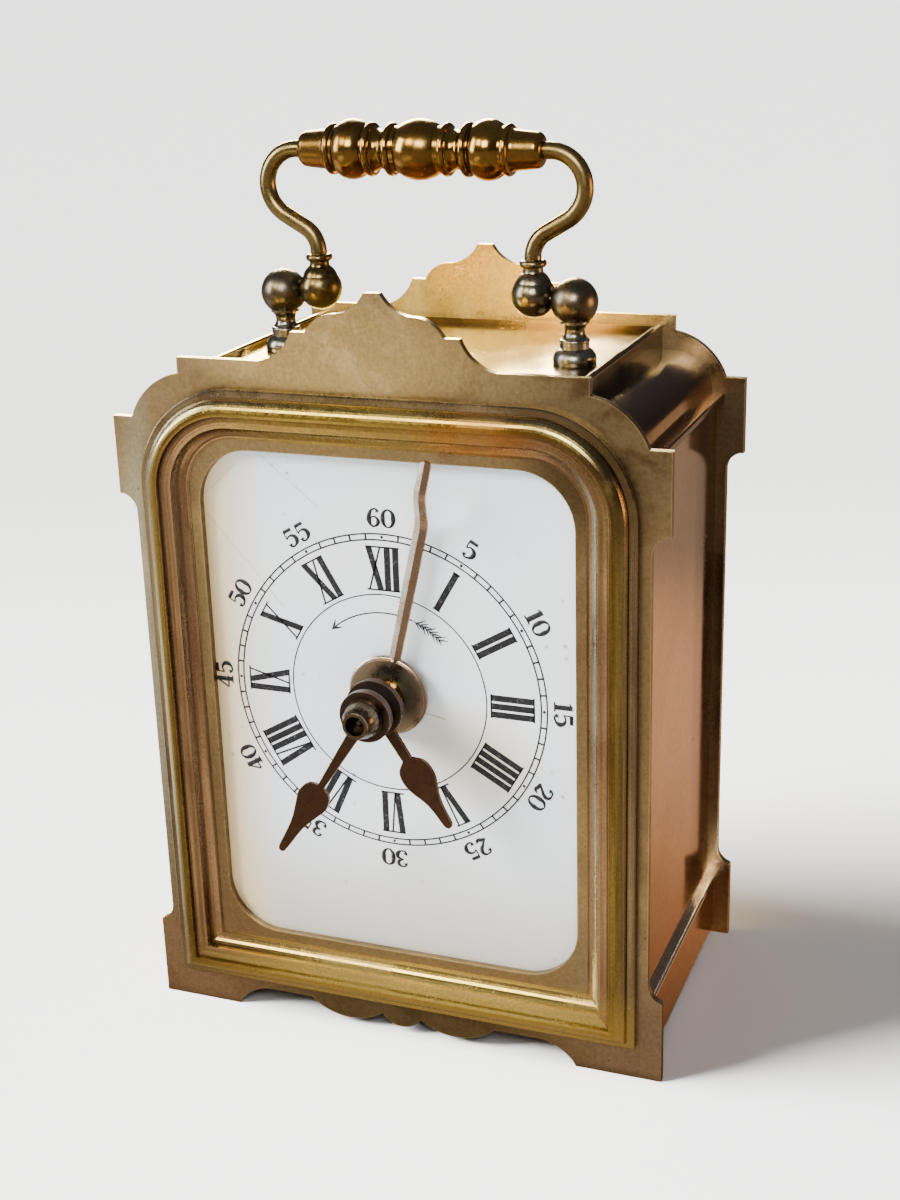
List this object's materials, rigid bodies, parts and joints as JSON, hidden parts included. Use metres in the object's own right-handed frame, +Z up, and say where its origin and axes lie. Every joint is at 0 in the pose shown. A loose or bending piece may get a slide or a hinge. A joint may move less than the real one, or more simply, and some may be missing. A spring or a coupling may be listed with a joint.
{
  "type": "carriage alarm clock",
  "caption": "Small upright brass case clock with fretted plates, hinged carrying handle, open enamel dial with hour, minute and alarm hands, back door, and lever alarm movement.",
  "frame": {"origin": "centre of the bounding box on the ground plane under the feet", "axes": "+X to the right seen from the front, -Y out of the dial towards the viewer, +Z up"},
  "size_m": [0.085, 0.0636, 0.1388],
  "materials": {
    "plate": "aged",
    "bezel": "aged, polished on the crests",
    "copper": "polished, copper-toned",
    "shoulder": "polished, dark",
    "gilt": "polished",
    "dark_brass": "dull",
    "enamel": "glossy, crazed",
    "grey_brass": "tarnished",
    "handle": "antique",
    "movement": "satin",
    "wheel": "polished",
    "steel": "polished",
    "blued": "blued",
    "screw": "polished",
    "bronze": "dark bronze",
    "hand": "browned",
    "copper_hand": "copper-toned",
    "bell_metal": "silvery"
  },
  "bodies": {
    "case": {"front_plate": "plate", "dial_bezel": "bezel", "back_plate": "plate", "left_side_panel": "copper", "right_side_panel": "copper", "left_shoulder": "shoulder", "right_shoulder": "shoulder", "top_panel": "gilt", "base_panel": "dark_brass", "dial": "enamel", "left_post": "grey_brass", "right_post": "grey_brass", "post_nuts": "dark_brass", "mount_posts": "dark_brass", "mount_screws": "screw", "movement_front_plate": "movement", "movement_back_plate": "movement", "movement_pillars": "movement", "movement_screws": "screw", "balance_cock": "movement", "hairspring": "blued", "bell": "bell_metal", "bell_post": "movement", "hinge_pin": "steel"},
    "handle": {"handle_grip": "handle", "left_arm": "handle", "right_arm": "handle", "pivot_pins": "steel"},
    "door": {"back_door": "plate", "door_knob": "gilt"},
    "minute": {"minute_hand": "hand", "hand_nut": "bronze", "cannon_pinion": "steel", "centre_arbor": "steel"},
    "hour": {"hour_hand": "hand", "hour_wheel": "wheel"},
    "motion_wheel": {"minute_wheel": "wheel"},
    "alarm_setting": {"alarm_hand": "copper_hand", "alarm_wheel": "wheel"},
    "going_barrel": {"barrel": "wheel", "barrel_cap": "wheel", "mainspring": "blued"},
    "winding_arbor": {"barrel_arbor": "steel"},
    "going_click": {"click": "steel"},
    "centre": {"centre_wheel": "wheel"},
    "third": {"third_wheel": "wheel"},
    "fourth": {"fourth_wheel": "wheel"},
    "escape": {"escape_wheel": "wheel"},
    "pallets": {"pallet_lever": "steel"},
    "balance": {"balance_wheel": "wheel"},
    "regulator": {"regulator_index": "steel"},
    "strike_barrel": {"alarm_barrel": "wheel", "alarm_cap": "wheel", "alarm_mainspring": "blued"},
    "alarm_winding": {"alarm_arbor": "steel"},
    "strike_click": {"alarm_click": "steel"},
    "striking": {"strike_wheel": "wheel"},
    "striker": {"hammer": "steel"}
  },
  "joints": [
    {"name": "handle_swing", "type": "hinge", "parent": "case", "child": "handle", "pos_m": [0, 0.00035, 0.1137], "axis": [1, 0, 0], "range_deg": [-97, 66]},
    {"name": "door_swing", "type": "hinge", "parent": "case", "child": "door", "pos_m": [-0.0305, 0.02925, 0.01615], "axis": [0, 0, 1], "range_deg": [0, 110]},
    {"name": "minute_hand_turn", "type": "hinge", "parent": "case", "child": "minute", "pos_m": [0, -0.01955, 0.0579], "axis": [0, 1, 0], "continuous": true},
    {"name": "hour_hand_turn", "type": "hinge", "parent": "case", "child": "hour", "pos_m": [0, -0.01955, 0.0579], "axis": [0, 1, 0], "continuous": true},
    {"name": "minute_wheel_turn", "type": "hinge", "parent": "case", "child": "motion_wheel", "pos_m": [0.0042, -0.01435, 0.05063], "axis": [0, 1, 0], "continuous": true},
    {"name": "alarm_hand_turn", "type": "hinge", "parent": "case", "child": "alarm_setting", "pos_m": [0, -0.01955, 0.0579], "axis": [0, 1, 0], "continuous": true},
    {"name": "fourth_wheel_turn", "type": "hinge", "parent": "case", "child": "fourth", "pos_m": [0.00006, 0.00795, 0.07143], "axis": [0, 1, 0], "continuous": true},
    {"name": "going_barrel_turn", "type": "hinge", "parent": "case", "child": "going_barrel", "pos_m": [-0.0115, -0.01055, 0.04565], "axis": [0, 1, 0], "continuous": true},
    {"name": "centre_wheel_turn", "type": "hinge", "parent": "case", "child": "centre", "pos_m": [0, 0.00545, 0.0579], "axis": [0, 1, 0], "continuous": true},
    {"name": "third_wheel_turn", "type": "hinge", "parent": "case", "child": "third", "pos_m": [0.00912, 0.00195, 0.06555], "axis": [0, 1, 0], "continuous": true},
    {"name": "escape_wheel_turn", "type": "hinge", "parent": "case", "child": "escape", "pos_m": [-0.00862, 0.00445, 0.07459], "axis": [0, 1, 0], "continuous": true},
    {"name": "winding_arbor_turn", "type": "hinge", "parent": "case", "child": "winding_arbor", "pos_m": [-0.0115, 0.01225, 0.04565], "axis": [0, 1, 0], "continuous": true},
    {"name": "going_click_lift", "type": "hinge", "parent": "case", "child": "going_click", "pos_m": [-0.00342, 0.01225, 0.04271], "axis": [0, 1, 0], "range_deg": [0, 12]},
    {"name": "pallets_rock", "type": "hinge", "parent": "case", "child": "pallets", "pos_m": [-0.01261, 0.00445, 0.06984], "axis": [0, 1, 0], "range_deg": [-3, 3]},
    {"name": "balance_turn", "type": "hinge", "parent": "case", "child": "balance", "pos_m": [-0.0184, 0.01395, 0.06295], "axis": [0, 1, 0], "range_deg": [-140, 140], "stiffness_Nm_per_rad": 0.00001},
    {"name": "regulator_turn", "type": "hinge", "parent": "case", "child": "regulator", "pos_m": [-0.0184, 0.01655, 0.06295], "axis": [0, 1, 0], "range_deg": [-20, 20]},
    {"name": "strike_barrel_turn", "type": "hinge", "parent": "case", "child": "strike_barrel", "pos_m": [0.013, -0.01055, 0.0333], "axis": [0, 1, 0], "continuous": true},
    {"name": "strike_wheel_turn", "type": "hinge", "parent": "case", "child": "striking", "pos_m": [0.01946, 0.00345, 0.04449], "axis": [0, 1, 0], "continuous": true},
    {"name": "alarm_arbor_turn", "type": "hinge", "parent": "case", "child": "alarm_winding", "pos_m": [0.013, 0.01225, 0.0333], "axis": [0, 1, 0], "continuous": true},
    {"name": "strike_click_lift", "type": "hinge", "parent": "case", "child": "strike_click", "pos_m": [0.02108, 0.01225, 0.03036], "axis": [0, 1, 0], "range_deg": [0, 12]},
    {"name": "hammer_swing", "type": "hinge", "parent": "case", "child": "striker", "pos_m": [0.025, 0.00485, 0.0503], "axis": [0, 1, 0], "range_deg": [-2.5, 3]}
  ],
  "couplings": [
    {"joint": "minute_wheel_turn", "follows": "minute_hand_turn", "ratio": -0.33333},
    {"joint": "hour_hand_turn", "follows": "minute_hand_turn", "ratio": 0.083333},
    {"joint": "third_wheel_turn", "follows": "fourth_wheel_turn", "ratio": -0.125},
    {"joint": "centre_wheel_turn", "follows": "fourth_wheel_turn", "ratio": 0.016667},
    {"joint": "going_barrel_turn", "follows": "fourth_wheel_turn", "ratio": -0.0027778},
    {"joint": "escape_wheel_turn", "follows": "fourth_wheel_turn", "ratio": -10},
    {"joint": "strike_wheel_turn", "follows": "strike_barrel_turn", "ratio": -7.5}
  ]
}
